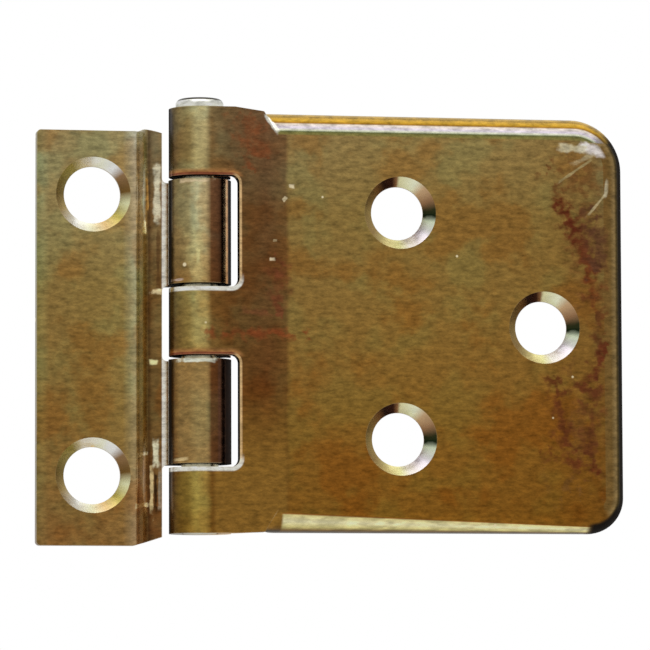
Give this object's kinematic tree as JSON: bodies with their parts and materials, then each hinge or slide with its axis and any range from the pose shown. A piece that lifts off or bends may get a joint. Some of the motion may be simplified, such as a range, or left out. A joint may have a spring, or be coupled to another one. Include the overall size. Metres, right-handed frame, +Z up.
{
  "type": "offset hinge",
  "caption": "Cabinet offset hinge: cranked frame leaf, pan-shaped door leaf with windows, and a headed pin.",
  "frame": {"origin": "centre of the frame leaf's two screw holes, on its back face", "axes": "+Z up along the pin, +X from the frame leaf to the door leaf, -Y out of the cabinet towards the viewer"},
  "size_m": [0.071, 0.0129, 0.054],
  "materials": {
    "leaf_brass": "polished, aged",
    "pin_brass": "polished, aged"
  },
  "bodies": {
    "frame": {"frame_leaf": "leaf_brass"},
    "door": {"door_leaf": "leaf_brass", "hinge_pin": "pin_brass"}
  },
  "joints": [
    {"name": "leaf_swing", "type": "hinge", "parent": "frame", "child": "door", "pos_m": [0.0119, -0.00915, 0.00095], "axis": [0, 0, -1], "range_deg": [-125, 155]}
  ]
}
